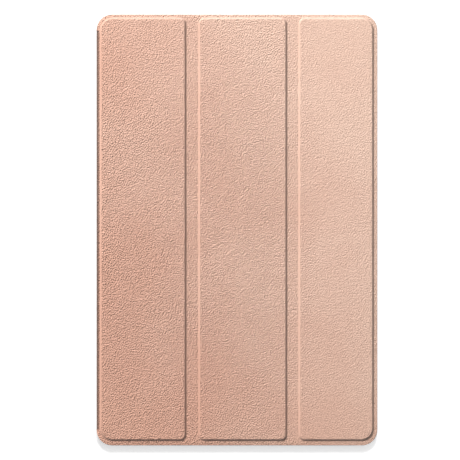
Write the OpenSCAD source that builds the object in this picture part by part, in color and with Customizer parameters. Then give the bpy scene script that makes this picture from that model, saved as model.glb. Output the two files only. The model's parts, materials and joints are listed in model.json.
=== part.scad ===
// Tablet computer in a tri-fold folio cover, closed and lying on its back.
// +X is the free edge of the cover, -X the spine, +Y the top, +Z the front.
// The origin is the centre of the back face.

/* [Cover] */
// Length of the cover, along the spine
case_l = 257; // [240:1:280]
// Width of the cover, from the spine to the free edge
case_w = 167.5; // [160:0.5:185]
// Outer corner radius of the cover
corner_r = 9.2; // [8.5:0.1:12]
// Thickness of the leatherette
skin_t = 0.6; // [0.5:0.1:0.7]
// Thickness of the panel boards, which is how far the panels stand proud
board_t = 0.8; // [0.6:0.1:1]
// Thickness of the lining
lining_t = 0.5; // [0.4:0.1:0.5]
// Width of the sloping edge round each raised panel
bevel_w = 1.3; // [1:0.1:1.6]
// Length of the spine strip
spine_l = 237; // [200:1:237]

/* [Panels] */
// First fold line, from the spine edge
fold_1_at = 57.1; // [55:0.1:59]
// Second fold line, from the spine edge
fold_2_at = 117; // [115:0.1:119]
// Width of the flat strip at the first fold
fold_1_w = 6.8; // [6:0.1:7.5]
// Width of the flat strip at the second fold
fold_2_w = 6.4; // [6:0.1:7.5]
// Flat border outside the panels at the top edge
border_top = 1.6; // [1.5:0.1:3]
// Flat border at the bottom edge
border_bottom = 2.6; // [1.5:0.1:3]
// Flat border at the free edge
border_free = 2; // [1.5:0.1:3]
// Panel corner radius beside the fold strips
panel_r = 2.5; // [2:0.1:3]
// Panel corner radius at the outer corners
panel_outer_r = 7.2; // [6:0.1:8]

/* [Tablet] */
// Length of the tablet
tablet_l = 252.8; // [252:0.1:253]
// Width of the tablet
tablet_w = 162; // [161.5:0.1:162.2]
// Thickness of the tablet
tablet_t = 7; // [7:0.1:7.2]
// Corner radius of the tablet
tablet_r = 7.8; // [7:0.1:8]

/* [Hidden] */

$fn = 48;
eps = 0.05;

// Height levels of the cover
back_skin_t = 0.8;
shell_floor = 1.2;
tablet_z = back_skin_t + shell_floor;
lining_z = tablet_z + tablet_t + 0.7;
board_z = lining_z + lining_t;
border_z = board_z + skin_t;
total_h = border_z + board_t;

// Edges of the cover
left_x = -case_w / 2;
right_x = case_w / 2;
top_y = case_l / 2;
hinge_r = 1.8;
hinge_x = left_x + hinge_r;
fold_1_x = left_x + fold_1_at;
fold_2_x = left_x + fold_2_at;
fold_gap = 0.05;

// Back shell, between the spine and the overhang of the cover
free_overhang = 0.9;
end_overhang = 0.6;
shell_x0 = hinge_x;
shell_x1 = right_x - free_overhang;
shell_w = shell_x1 - shell_x0;
shell_cx = (shell_x0 + shell_x1) / 2;
shell_l = case_l - 2 * end_overhang;
shell_top_z = tablet_z + tablet_t + 0.1;
shell_r = corner_r - 0.4;
lip_t = 0.45;
lip_reach = 1.6;

// Spine layers, counted inwards from the left edge
spine_board_t = 0.5;
spine_lining_t = 0.4;

// Leatherette tones and hardware colours
rose = "#D6AD98";
lining_grey = "#8E8A88";
card_grey = "#5C5A58";
metal = "#B9BBBE";
dark = "#1B1C1E";
gold = "#C9A24A";
pcb = "#1F4A38";

// Tablet interior levels, from its back
wall = 1.3;
floor_t = 0.8;
glass_t = 0.7;
gasket_t = 0.15;
lcd_t = 1;
backlight_t = 1;
plate_t = 0.4;
glass_z = tablet_t - glass_t;
ledge_z = glass_z - gasket_t;
lcd_z = ledge_z - lcd_t;
backlight_z = lcd_z - backlight_t;
plate_z = backlight_z - plate_t;
rim_w = 0.6;
cavity_w = tablet_w - 2 * wall;
cavity_l = tablet_l - 2 * wall;
frame_ring = 2.2;
pcb_z = 1.6;
pcb_t = 0.8;
pcb_top = pcb_z + pcb_t;
lcd_w = 151;
lcd_l = 241.5;

// Batteries: two flat cells side by side
cell_w = 72;
cell_l = 148;
cell_y = -14;
cell_x = 39;
cell_z = 0.95;
cell_t = 2.6;

// Side keys, on the free side, and the card tray below them
key_z = 3.4;
key_h = 2.2;
key_proud = 0.5;
power_y = 84;
power_l = 16;
volume_y = 52;
volume_l = 24;
key_flange_x0 = tablet_w / 2 - 2.2;
key_flange_t = 0.5;
dome_x = tablet_w / 2 - 3.1;
key_zone_y = (power_y + volume_y) / 2 - 2;
key_zone_l = power_y - volume_y + 42;
tray_y = -99.5;
tray_z = 2.45;
tray_plate_l = 14.4;
tray_plate_h = 1.9;
tray_body_w = 12.2;
tray_body_t = 0.9;
tray_deep = 22;

// Port, cameras and sound openings
usb_z = 2.45;
usb_w = 8.94;
usb_h = 3.2;
usb_l = 7.3;
usb_mouth_w = 8.34;
usb_mouth_h = 2.56;
camera_x = 66;
camera_y = 111;
camera_ring_r = 6.2;
front_cam_y = 122.4;
sound_z = 2.5;
sound_hole_r = 0.6;
sound_pitch = 2.4;
sound_count = 7;
speaker_w = 30;
speaker_l = 11.5;
speaker_t = 2.6;
// Centre of each speaker, in the plane of the tablet
speaker_bl = [-60, -115.2];
speaker_br = [60, -115.2];
speaker_tl = [-60, 115.2];
speaker_tr = [40, 115.2];
speakers = [speaker_bl, speaker_br, speaker_tl, speaker_tr];

// Screw places on the main board and on the lower board
main_screws = [[-38, 98], [70, 70], [-38, 70], [36, 98], [-14, 117]];
lower_screws = [[-30, -96], [48, -96], [-30, -110], [30, -110]];
screw_places = concat(main_screws, lower_screws);
screw_r = 0.6;
screw_head_r = 1.2;
screw_head_t = 0.4;
boss_r = 1.8;

// A rectangle with four corner radii, in the order left-bottom, right-bottom, right-top, left-top
module corners_rect(x0, y0, x1, y1, radii) {
    spots = [
        [x0 + radii[0], y0 + radii[0]],
        [x1 - radii[1], y0 + radii[1]],
        [x1 - radii[2], y1 - radii[2]],
        [x0 + radii[3], y1 - radii[3]]
    ];
    union() {
        polygon([
            [x0, spots[0][1]], spots[0], [spots[0][0], y0],
            [spots[1][0], y0], spots[1], [x1, spots[1][1]],
            [x1, spots[2][1]], spots[2], [spots[2][0], y1],
            [spots[3][0], y1], spots[3], [x0, spots[3][1]]
        ]);
        for (i = [0:3])
            translate(spots[i]) circle(r = radii[i]);
    }
}

module round_rect(w, l, r) {
    corners_rect(-w / 2, -l / 2, w / 2, l / 2, [r, r, r, r]);
}

module slab(w, l, r, z0, z1) {
    translate([0, 0, z0]) linear_extrude(z1 - z0) round_rect(w, l, r);
}

module block(x0, y0, z0, x1, y1, z1) {
    translate([x0, y0, z0]) cube([x1 - x0, y1 - y0, z1 - z0]);
}

// A flat bar with fully rounded ends, lying along Y, whose depth runs along +X
module stadium_y(length, height, depth) {
    reach = (length - height) / 2;
    rotate([90, 0, 90]) linear_extrude(depth) union() {
        square([2 * reach, height], center = true);
        for (s = [-1, 1])
            translate([s * reach, 0]) circle(d = height);
    }
}

// The same bar lying along X, whose depth runs along +Y
module stadium_x(length, height, depth) {
    rotate([0, 0, -90]) mirror([1, 0, 0]) stadium_y(length, height, depth);
}

module in_tablet() {
    translate([shell_cx, 0, tablet_z]) children();
}

// ---- Folio cover ----

// The cover's outline between two lines across it, with the hinge zone left out of the spine side
module cover_outline(x0, x1) {
    difference() {
        intersection() {
            round_rect(case_w, case_l, corner_r);
            translate([x0, -case_l]) square([x1 - x0, 2 * case_l]);
        }
        translate([left_x - 1, -spine_l / 2]) square([hinge_r + 1, spine_l]);
    }
}

// A raised panel's outline at its foot, drawn in by inset
module panel_outline(i, inset) {
    x0 = [hinge_x, fold_1_x + fold_1_w / 2, fold_2_x + fold_2_w / 2][i] + inset;
    x1 = [fold_1_x - fold_1_w / 2, fold_2_x - fold_2_w / 2, right_x - border_free][i] - inset;
    left_r = max(0.8, (i == 0 ? panel_outer_r : panel_r) - inset);
    right_r = max(0.8, (i == 2 ? panel_outer_r : panel_r) - inset);
    corners_rect(
        x0, -top_y + border_bottom + inset, x1, top_y - border_top - inset,
        [left_r, right_r, right_r, left_r]
    );
}

function panel_x0(i) = [left_x, fold_1_x + fold_gap, fold_2_x + fold_gap][i];
function panel_x1(i) = [fold_1_x - fold_gap, fold_2_x - fold_gap, right_x][i];

// A quarter ring of leatherette along the spine edge, between two angles from +X
module hinge_band(cx, cz, from, to) {
    ring = skin_t;
    steps = 6;
    angles = [for (k = [0:steps]) from + (to - from) * k / steps];
    outer = [for (a = angles) [hinge_r * cos(a), hinge_r * sin(a)]];
    inner = [for (k = [steps:-1:0]) (hinge_r - ring) * [cos(angles[k]), sin(angles[k])]];
    translate([cx, spine_l / 2, cz]) rotate([90, 0, 0])
        linear_extrude(spine_l) polygon(concat(outer, inner));
}

module panel_skin(i) {
    difference() {
        union() {
            translate([0, 0, board_z]) linear_extrude(skin_t) cover_outline(panel_x0(i), panel_x1(i));
            hull() {
                translate([0, 0, board_z + skin_t / 2]) linear_extrude(skin_t / 2) panel_outline(i, 0);
                translate([0, 0, total_h - 0.1]) linear_extrude(0.1) panel_outline(i, bevel_w);
            }
        }
        translate([0, 0, board_z - 1]) linear_extrude(board_t + 1) panel_outline(i, bevel_w + 0.1);
    }
}

module panel_1_skin() {
    color(rose) union() {
        panel_skin(0);
        hinge_band(hinge_x, border_z - hinge_r, 90, 135.5);
    }
}

module panel_2_skin() {
    color(rose) panel_skin(1);
}

module panel_3_skin() {
    color(rose) panel_skin(2);
}

module board_plate(i) {
    translate([0, 0, board_z]) linear_extrude(board_t) panel_outline(i, bevel_w + 0.2);
}

module panel_1_board() {
    color(card_grey) board_plate(0);
}

module panel_2_board() {
    color(card_grey) board_plate(1);
}

magnet_l = 14;
magnet_w = 6;
magnet_t = 0.7;
magnet_x = right_x - 10;
magnet_rows = [-84, -28, 28, 84];
wake_x = right_x - 26;
wake_y = 96;
wake_r = 3;

module panel_3_board() {
    color(card_grey) difference() {
        board_plate(2);
        for (y = magnet_rows)
            block(magnet_x - magnet_w / 2 - 0.1, y - magnet_l / 2 - 0.1, board_z - 1,
                magnet_x + magnet_w / 2 + 0.1, y + magnet_l / 2 + 0.1, board_z + 2);
        translate([wake_x, wake_y, board_z - 1]) cylinder(r = wake_r + 0.1, h = 3);
    }
}

module closing_magnets() {
    color(metal) for (y = magnet_rows)
        block(magnet_x - magnet_w / 2, y - magnet_l / 2, board_z,
            magnet_x + magnet_w / 2, y + magnet_l / 2, board_z + magnet_t);
}

module wake_magnet() {
    color(metal) translate([wake_x, wake_y, board_z]) cylinder(r = wake_r, h = magnet_t);
}

// The lining stops short of the cover's edge, and of the spine, so that it clears both
module panel_lining(i) {
    inset = 0.9;
    x0 = i == 0 ? left_x + 3.2 : panel_x0(i);
    color(lining_grey) translate([0, 0, lining_z]) linear_extrude(lining_t) intersection() {
        round_rect(case_w - 2 * inset, case_l - 2 * inset, corner_r - inset);
        translate([x0, -case_l]) square([panel_x1(i) - x0, 2 * case_l]);
    }
}

module panel_1_lining() {
    panel_lining(0);
}

module panel_2_lining() {
    panel_lining(1);
}

module panel_3_lining() {
    panel_lining(2);
}

module spine_skin() {
    color(rose) union() {
        block(left_x, -spine_l / 2, hinge_r, left_x + skin_t, spine_l / 2, border_z - hinge_r);
        hinge_band(hinge_x, border_z - hinge_r, 136.5, 180);
        hinge_band(hinge_x, hinge_r, 180, 223.5);
    }
}

module spine_board() {
    x0 = left_x + skin_t;
    color(card_grey)
        block(x0, -spine_l / 2 + 1, hinge_r + 0.4, x0 + spine_board_t, spine_l / 2 - 1,
            border_z - hinge_r - 0.4);
}

module spine_lining() {
    x0 = left_x + skin_t + spine_board_t;
    color(lining_grey)
        block(x0, -spine_l / 2 + 0.5, hinge_r + 0.2, x0 + spine_lining_t, spine_l / 2 - 0.5,
            border_z - hinge_r - 0.6);
}

module camera_hole(r) {
    translate([camera_x + shell_cx, camera_y, -1]) cylinder(r = r, h = tablet_z + 2);
}

module back_skin() {
    color(rose) difference() {
        union() {
            translate([shell_cx, 0, 0]) slab(shell_w, shell_l, shell_r, 0, back_skin_t);
            hinge_band(hinge_x, hinge_r, 224.5, 270);
        }
        camera_hole(9.4);
    }
}

// A slot through the shell's end wall, in front of a speaker
module shell_sound_slot(place) {
    side = sign(place[1]);
    translate([shell_cx + place[0], side * (tablet_l / 2 - 1.5), tablet_z + sound_z])
        rotate([0, 0, side > 0 ? 0 : 180]) stadium_x(20, 3, 6);
}

module back_shell() {
    outer_floor = back_skin_t;
    pocket_w = tablet_w + 0.2;
    pocket_l = tablet_l + 0.2;
    pocket_r = tablet_r + 0.1;
    color(dark) difference() {
        union() {
            difference() {
                translate([shell_cx, 0, 0]) slab(shell_w, shell_l, shell_r, outer_floor, shell_top_z);
                translate([shell_cx, 0, 0]) slab(pocket_w, pocket_l, pocket_r, tablet_z, shell_top_z + 1);
            }
            corner_lips();
        }
        camera_hole(8.6);
        for (place = speakers)
            shell_sound_slot(place);
        translate([shell_cx, -tablet_l / 2 - 5, tablet_z + usb_z]) stadium_x(13, 5, 6);
        // Open notch beside the two side keys
        block(shell_x1 - 2.2, key_zone_y - key_zone_l / 2, tablet_z + 1.4,
            shell_x1 + 1, key_zone_y + key_zone_l / 2, shell_top_z + 1);
        // Slot in front of the card tray
        translate([shell_x1 - 2.2, tray_y, tablet_z + tray_z]) stadium_y(22, 4, 6);
    }
}

// Four lips reach over the tablet's corners and hold it in the shell
module corner_lips() {
    difference() {
        translate([shell_cx, 0, 0]) slab(shell_w, shell_l, shell_r, tablet_z + tablet_t, shell_top_z + lip_t);
        translate([shell_cx, 0, 0])
            slab(shell_w - 2 * (wall + lip_reach), shell_l - 2 * (wall + lip_reach),
                shell_r - wall - lip_reach, tablet_z, shell_top_z + 2);
        block(shell_x0 - 1, -shell_l / 2 + 16, tablet_z, shell_x1 + 1, shell_l / 2 - 16, shell_top_z + 2);
        block(shell_x0 + 16, -shell_l / 2 - 1, tablet_z, shell_x1 - 16, shell_l / 2 + 1, shell_top_z + 2);
    }
}

// ---- Tablet ----

module sound_holes(place) {
    side = sign(place[1]);
    start = -(sound_count - 1) / 2 * sound_pitch;
    for (i = [0:sound_count - 1])
        translate([place[0] + start + i * sound_pitch, side * (tablet_l / 2 - wall / 2), sound_z])
            rotate([90, 0, 0]) cylinder(r = sound_hole_r, h = wall + 1, center = true);
}

module screw_bosses() {
    for (p = screw_places)
        translate([p[0], p[1], floor_t - eps]) cylinder(r = boss_r, h = pcb_z - floor_t + eps);
}

module rear_housing() {
    color(metal) in_tablet() difference() {
        union() {
            difference() {
                slab(tablet_w, tablet_l, tablet_r, 0, tablet_t - 0.1);
                slab(cavity_w, cavity_l, tablet_r - wall, floor_t, tablet_t + 1);
                slab(tablet_w - 2 * rim_w, tablet_l - 2 * rim_w, tablet_r - rim_w, ledge_z, tablet_t + 1);
            }
            screw_bosses();
        }
        for (p = screw_places)
            translate([p[0], p[1], floor_t + 0.1]) cylinder(r = screw_r + 0.05, h = 4);
        for (place = speakers)
            sound_holes(place);
        // Port mouth
        translate([0, -tablet_l / 2 - 1, usb_z]) stadium_x(usb_w + 0.2, usb_h + 0.1, 4);
        // Key slots
        translate([tablet_w / 2 - wall - 1, power_y, key_z]) stadium_y(power_l + 0.3, key_h + 0.3, 4);
        translate([tablet_w / 2 - wall - 1, volume_y, key_z]) stadium_y(volume_l + 0.3, key_h + 0.3, 4);
        // Tray slot
        translate([tablet_w / 2 - wall - 1, tray_y, tray_z])
            stadium_y(tray_plate_l + 0.2, tray_plate_h + 0.2, 4);
        // Rear camera
        translate([camera_x, camera_y, -1]) cylinder(r = camera_ring_r + 0.1, h = 3);
        // Microphone holes, one in each end wall
        for (m = mic_places)
            translate([m[0], sign(m[1]) * tablet_l / 2, 1.5])
                rotate([90, 0, 0]) cylinder(r = 0.5, h = 4, center = true);
    }
}

mic_places = [[16, -122.6], [-16, 122.6]];

module mid_frame() {
    w = cavity_w - 0.2;
    l = cavity_l - 0.2;
    color("#7C7F84") in_tablet() difference() {
        slab(w, l, tablet_r - wall - 0.1, plate_z, ledge_z);
        slab(w - 2 * frame_ring, l - 2 * frame_ring, 2, backlight_z, ledge_z + 1);
        // Room for the keys
        block(key_flange_x0 - 2, key_zone_y - key_zone_l / 2, 0,
            tablet_w, key_zone_y + key_zone_l / 2, ledge_z - 0.6);
        // Room for the port, the front camera and the display ribbon
        block(-usb_w / 2 - 0.4, -tablet_l, 0, usb_w / 2 + 0.4, -tablet_l / 2 + wall + 7, backlight_z + 0.1);
        block(-4, front_cam_y - 2.1, 0, 20, front_cam_y + 2.2, ledge_z + 1);
        block(-17, 100, 0, 17, 102, backlight_z + 1);
        // Windows under the display save weight
        for (x = [-1, 1], y = [-60, 30])
            translate([x * 36, y, plate_z - 1]) linear_extrude(3) round_rect(30, 50, 4);
    }
}

module backlight_unit() {
    color("#E9E7DE") in_tablet() slab(lcd_w, lcd_l - 1, 1.5, backlight_z, lcd_z);
}

module display_panel() {
    color("#15171C") in_tablet() slab(lcd_w, lcd_l - 1, 1.5, lcd_z, ledge_z);
}

module touch_sensor() {
    color("#2A2D33") in_tablet() slab(lcd_w + 1, lcd_l - 0.6, 2, ledge_z, glass_z);
}

module glass_gasket() {
    w = tablet_w - 2 * rim_w - 0.4;
    l = tablet_l - 2 * rim_w - 0.4;
    color("black") in_tablet() difference() {
        slab(w, l, tablet_r - rim_w - 0.2, ledge_z, glass_z);
        slab(w - 5.4, l - 5.4, 2.5, 0, tablet_t);
        block(-4, front_cam_y - 2.1, 0, 20, front_cam_y + 2.2, tablet_t);
    }
}

module cover_glass() {
    color("#0E0F12") in_tablet()
        slab(tablet_w - 2 * rim_w - 0.2, tablet_l - 2 * rim_w - 0.2, tablet_r - rim_w - 0.1, glass_z, tablet_t);
}

module battery_cell(side) {
    color("#3A3C40") in_tablet() translate([side * cell_x, cell_y, 0])
        slab(cell_w, cell_l, 2, cell_z, cell_z + cell_t);
}

module battery_left() {
    battery_cell(-1);
}

module battery_right() {
    battery_cell(1);
}

module battery_adhesive() {
    color("white") in_tablet() for (x = [-1, 1], s = [-1, 0, 1])
        block(x * cell_x + s * 24 - 6, cell_y - 65, floor_t, x * cell_x + s * 24 + 6, cell_y + 65, cell_z);
}

module battery_board() {
    y0 = cell_y + cell_l / 2 + 0.3;
    color(pcb) in_tablet() union() {
        block(-24, y0, 1.6, 24, y0 + 3.6, 2.2);
        for (x = [-16, 10])
            block(x, y0 + 0.6, 2.2, x + 6, y0 + 3, 3);
    }
}

module board_holes(places) {
    for (p = places)
        translate([p[0], p[1], 0]) cylinder(r = screw_r + 0.1, h = 5);
}

module main_board() {
    color(pcb) in_tablet() difference() {
        union() {
            block(-44, 66, pcb_z, 75, 102.5, pcb_top);
            block(-42, 102, pcb_z, 22, 121, pcb_top);
        }
        board_holes(main_screws);
        translate([75, 102.5, 0]) cylinder(r = 4, h = 5);
    }
}

// Corner and size of each shield can on the main board
cans = [[-30, 72, 30, 24], [4, 72, 26, 20], [44, 74, 20, 20], [-8, 104, 26, 14]];
can_h = 1.15;
can_t = 0.15;

module main_chips() {
    color("#26282B") in_tablet() for (c = cans)
        block(c[0] + 4, c[1] + 3.5, pcb_top, c[0] + c[2] - 5, c[1] + c[3] - 3.5, pcb_top + 0.8);
}

module shield_cans() {
    color("silver") in_tablet() for (c = cans)
        difference() {
            block(c[0], c[1], pcb_top, c[0] + c[2], c[1] + c[3], pcb_top + can_h);
            block(c[0] + can_t, c[1] + can_t, pcb_top - 1,
                c[0] + c[2] - can_t, c[1] + c[3] - can_t, pcb_top + can_h - can_t);
        }
}

module lower_board() {
    color(pcb) in_tablet() difference() {
        block(-36, -121, pcb_z, 52, -92, pcb_top);
        board_holes(lower_screws);
        block(-usb_w / 2 - 0.2, -122, 0, usb_w / 2 + 0.2, -118.6, 5);
        block(34, -122, 0, 53, -108.5, 5);
        block(11, -122, 0, 21, -118.6, 5);
    }
}

// The ribbon runs between the two cells, under both boards
module board_ribbon() {
    color("#C77F2A") in_tablet() block(-1.6, -100, 1.2, 1.6, 72, 1.45);
}

module display_ribbon() {
    color("#C77F2A") in_tablet() union() {
        block(-15, 101, 2.6, 15, 101.3, backlight_z);
        block(-15, 97.5, pcb_top, 15, 101.3, 2.75);
    }
}

module board_screws() {
    color("silver") in_tablet() for (p = screw_places)
        translate([p[0], p[1], 0]) difference() {
            union() {
                translate([0, 0, floor_t + 0.3]) cylinder(r = screw_r, h = pcb_top - floor_t - 0.3 + eps);
                translate([0, 0, pcb_top]) cylinder(r = screw_head_r, h = screw_head_t);
            }
            for (a = [0, 90])
                rotate([0, 0, a]) translate([-0.6, -0.12, pcb_top + 0.2]) cube([1.2, 0.24, 1]);
        }
}

module usb_c_port() {
    front = -tablet_l / 2 + 0.15;
    tongue_w = 6.7;
    color("silver") in_tablet() union() {
        difference() {
            translate([0, front, usb_z]) stadium_x(usb_w, usb_h, usb_l);
            translate([0, front - 1, usb_z]) stadium_x(usb_mouth_w, usb_mouth_h, usb_l);
        }
        block(-tongue_w / 2, front + 1.2, usb_z - 0.35, tongue_w / 2, front + usb_l - 0.5, usb_z + 0.35);
    }
}

module card_reader() {
    x1 = tablet_w / 2 - wall - 0.6;
    x0 = x1 - tray_deep - 1.6;
    half = tray_body_w / 2 + 0.2;
    color("silver") in_tablet() difference() {
        block(x0, tray_y - half - 0.6, tray_z - 0.95, x1, tray_y + half + 0.6, tray_z + 0.95);
        block(x0 + 0.6, tray_y - half, tray_z - 0.65, x1 + 1, tray_y + half, tray_z + 0.65);
    }
}

module card_tray() {
    face = tablet_w / 2;
    plate = 1.2;
    color(metal) in_tablet() difference() {
        union() {
            translate([face - plate, tray_y, tray_z]) stadium_y(tray_plate_l, tray_plate_h, plate);
            block(face - tray_deep, tray_y - tray_body_w / 2, tray_z - tray_body_t / 2,
                face - plate + eps, tray_y + tray_body_w / 2, tray_z + tray_body_t / 2);
        }
        // Card pocket, open upwards
        block(face - tray_deep + 1.2, tray_y - 4.4, tray_z - 0.15, face - 6, tray_y + 4.4, tray_z + 2);
        // Eject pin hole
        translate([face - plate - 2, tray_y - 5.6, tray_z]) rotate([0, 90, 0]) cylinder(r = 0.4, h = 5);
    }
}

module speaker(place) {
    side = sign(place[1]);
    color(dark) in_tablet() translate([place[0], place[1], cell_z]) difference() {
        block(-speaker_w / 2, -speaker_l / 2, 0, speaker_w / 2, speaker_l / 2, speaker_t);
        // Diaphragm recess and sound channel
        translate([0, -side * 1.2, speaker_t - 0.5]) linear_extrude(1) round_rect(22, 6.4, 3);
        block(-9, side > 0 ? speaker_l / 2 - 1.6 : -speaker_l / 2 - 1, 1,
            9, side > 0 ? speaker_l / 2 + 1 : -speaker_l / 2 + 1.6, 2.1);
    }
}

module speaker_top_left() {
    speaker(speaker_tl);
}

module speaker_top_right() {
    speaker(speaker_tr);
}

module speaker_bottom_left() {
    speaker(speaker_bl);
}

module speaker_bottom_right() {
    speaker(speaker_br);
}

module speaker_meshes() {
    inner = tablet_l / 2 - wall;
    color("#2B2B2D") in_tablet() for (place = speakers)
        translate([place[0], sign(place[1]) * (inner - 0.2), sound_z])
            cube([18, 0.3, 2], center = true);
}

module microphones() {
    color("#C9A24A") in_tablet() for (m = mic_places)
        block(m[0] - 1.8, m[1] - 1.4, floor_t + 0.1, m[0] + 1.8, m[1] + 1.4, 1.55);
}

module antennas() {
    color("#3B3B3D") in_tablet() union() {
        block(-79.2, 66, 1, -76.4, 102, 3.4);
        block(-79.2, -104, 1, -76.4, -92, 3.4);
    }
}

// It sits on the main board, under the wake magnet
module hall_sensor() {
    size = 2.6;
    height = 0.9;
    color(dark) translate([wake_x - size / 2, wake_y - size / 2, tablet_z + pcb_top])
        cube([size, size, height]);
}

module front_camera() {
    color(dark) in_tablet() translate([0, front_cam_y, 0]) union() {
        block(-2.1, -1.7, 3.9, 2.1, 1.7, 5.6);
        translate([0, 0, 5.6 - eps]) cylinder(r = 1.4, h = glass_z - 5.6);
    }
}

module light_sensor() {
    color("#3A3340") in_tablet() block(10.5, front_cam_y - 1, 5.2, 13, front_cam_y + 1, glass_z - 0.05);
}

module rear_camera() {
    color(dark) in_tablet() translate([camera_x, camera_y, 0]) union() {
        translate([0, 0, 0.1]) cylinder(r = 3.8, h = 1);
        block(-4.4, -4.4, 0.9, 4.4, 4.4, 3.6);
    }
}

module rear_camera_ring() {
    color(metal) in_tablet() translate([camera_x, camera_y, -0.75]) difference() {
        union() {
            cylinder(r = camera_ring_r, h = 1.5);
            cylinder(r = camera_ring_r + 0.9, h = 0.7);
        }
        translate([0, 0, -1]) cylinder(r = 4.1, h = 4);
        translate([0, 0, -1]) cylinder(r = 5.1, h = 1.65);
    }
}

module rear_camera_lens() {
    color("#0B1A2A") in_tablet() translate([camera_x, camera_y, -0.7]) cylinder(r = 5, h = 0.6);
}

module side_key_bracket() {
    color("silver") in_tablet()
        block(dome_x - 0.4, volume_y - 13, key_z - 1.1, dome_x, power_y + 8, key_z + 1.1);
}

module dome_switches() {
    color(gold) in_tablet() for (y = [power_y, volume_y - 8, volume_y + 8])
        translate([dome_x, y, key_z]) rotate([0, 90, 0]) union() {
            cylinder(r = 1, h = 0.3);
            cylinder(r = 0.6, h = 0.5);
        }
}

module side_key(y, length) {
    color(metal) in_tablet() union() {
        translate([key_flange_x0 + key_flange_t - eps, y, key_z])
            stadium_y(length, key_h, tablet_w / 2 + key_proud - key_flange_x0 - key_flange_t + eps);
        translate([key_flange_x0, y, key_z]) stadium_y(length + 2, key_h + 0.9, key_flange_t);
    }
}

module power_button() {
    side_key(power_y, power_l);
}

module volume_rocker() {
    side_key(volume_y, volume_l);
}

back_skin();
back_shell();
spine_skin();
spine_board();
spine_lining();
panel_1_skin();
panel_2_skin();
panel_3_skin();
panel_1_board();
panel_2_board();
panel_3_board();
panel_1_lining();
panel_2_lining();
panel_3_lining();
closing_magnets();
wake_magnet();
rear_housing();
mid_frame();
backlight_unit();
display_panel();
touch_sensor();
glass_gasket();
cover_glass();
battery_left();
battery_right();
battery_adhesive();
battery_board();
main_board();
main_chips();
shield_cans();
lower_board();
board_ribbon();
display_ribbon();
board_screws();
usb_c_port();
card_reader();
card_tray();
speaker_top_left();
speaker_top_right();
speaker_bottom_left();
speaker_bottom_right();
speaker_meshes();
microphones();
antennas();
hall_sensor();
front_camera();
light_sensor();
rear_camera();
rear_camera_lens();
rear_camera_ring();
side_key_bracket();
dome_switches();
power_button();
volume_rocker();
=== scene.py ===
"""A tablet computer closed in its tri-fold folio cover, seen straight on from the front."""

import json
import math

import bpy
import numpy as np
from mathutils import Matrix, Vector
from mathutils.geometry import delaunay_2d_cdt


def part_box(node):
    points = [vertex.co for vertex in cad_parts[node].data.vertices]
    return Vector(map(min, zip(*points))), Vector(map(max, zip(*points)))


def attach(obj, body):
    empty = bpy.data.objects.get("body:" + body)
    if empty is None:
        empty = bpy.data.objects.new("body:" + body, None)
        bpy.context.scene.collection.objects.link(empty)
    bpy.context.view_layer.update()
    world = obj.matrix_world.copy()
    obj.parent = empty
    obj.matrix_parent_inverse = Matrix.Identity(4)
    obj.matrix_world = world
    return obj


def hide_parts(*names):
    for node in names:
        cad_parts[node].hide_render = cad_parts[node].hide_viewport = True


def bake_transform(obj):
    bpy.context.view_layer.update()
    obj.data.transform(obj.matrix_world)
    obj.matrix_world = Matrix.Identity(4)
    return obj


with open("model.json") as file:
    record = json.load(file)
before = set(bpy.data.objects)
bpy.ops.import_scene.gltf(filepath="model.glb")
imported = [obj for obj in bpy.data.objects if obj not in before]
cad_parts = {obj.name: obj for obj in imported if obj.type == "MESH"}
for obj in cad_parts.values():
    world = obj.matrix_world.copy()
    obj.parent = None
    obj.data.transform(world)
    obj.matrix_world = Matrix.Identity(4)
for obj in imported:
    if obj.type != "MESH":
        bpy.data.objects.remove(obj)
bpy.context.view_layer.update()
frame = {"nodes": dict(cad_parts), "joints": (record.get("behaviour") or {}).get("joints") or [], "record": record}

MM = 0.001
NODES = frame["nodes"]
JOINTS = {joint["name"]: joint for joint in frame["joints"]}

# ---- Places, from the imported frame, and sizes of the formed sheets, in metres ----


def middle_of(node):
    lo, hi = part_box(node)
    return (lo + hi) / 2


cover_lo, cover_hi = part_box("panel_1_skin")
LEFT = cover_lo.x
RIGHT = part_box("panel_3_skin")[1].x
TOP = cover_hi.y
PANEL_TOP = cover_hi.z
BORDER_TOP = JOINTS["fold_1"]["pos_m"][2]
BOARD_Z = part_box("panel_1_board")[0].z
LINING_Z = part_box("panel_1_lining")[0].z
SKIN = BORDER_TOP - BOARD_Z
RISE = PANEL_TOP - BORDER_TOP
shell_lo, shell_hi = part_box("back_shell")
HINGE_X = shell_lo.x
HINGE_R = HINGE_X - LEFT
SPINE_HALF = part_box("spine_skin")[1].y
BEND = math.pi / 2 * HINGE_R
SPINE_RUN = 2 * BEND + BORDER_TOP - 2 * HINGE_R
BACK_TOP = shell_lo.z
LENS_AT = middle_of("rear_camera_ring").xy
CAMERA_HOLE_R = 9.4 * MM
CORNER_R = 9.2 * MM
SHELL_CORNER_R = CORNER_R - 0.4 * MM
EDGE_R = 0.32 * MM

# A raised panel: width of the slope over its board's edge, gap from slope to board, corner radii at its foot
BEVEL = 1.3 * MM
BOARD_INSET = 0.2 * MM
OUTER_R = 7.8 * MM
INNER_R = 4.0 * MM


def panel_foot(i):
    """The rectangle at the foot of raised panel i, as (x0, y0, x1, y1), with its corner radii."""
    lo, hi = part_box(f"panel_{i + 1}_board")
    reach = BEVEL + BOARD_INSET
    left_r = OUTER_R if i == 0 else INNER_R
    right_r = OUTER_R if i == 2 else INNER_R
    rect = (lo.x - reach, lo.y - reach, hi.x + reach, hi.y + reach)
    return rect, (left_r, right_r, right_r, left_r)


FEET = [panel_foot(i) for i in range(3)]
STRIPS = [
    (FEET[0][0][2], FEET[1][0][0]),
    (FEET[1][0][2], FEET[2][0][0]),
]
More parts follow.
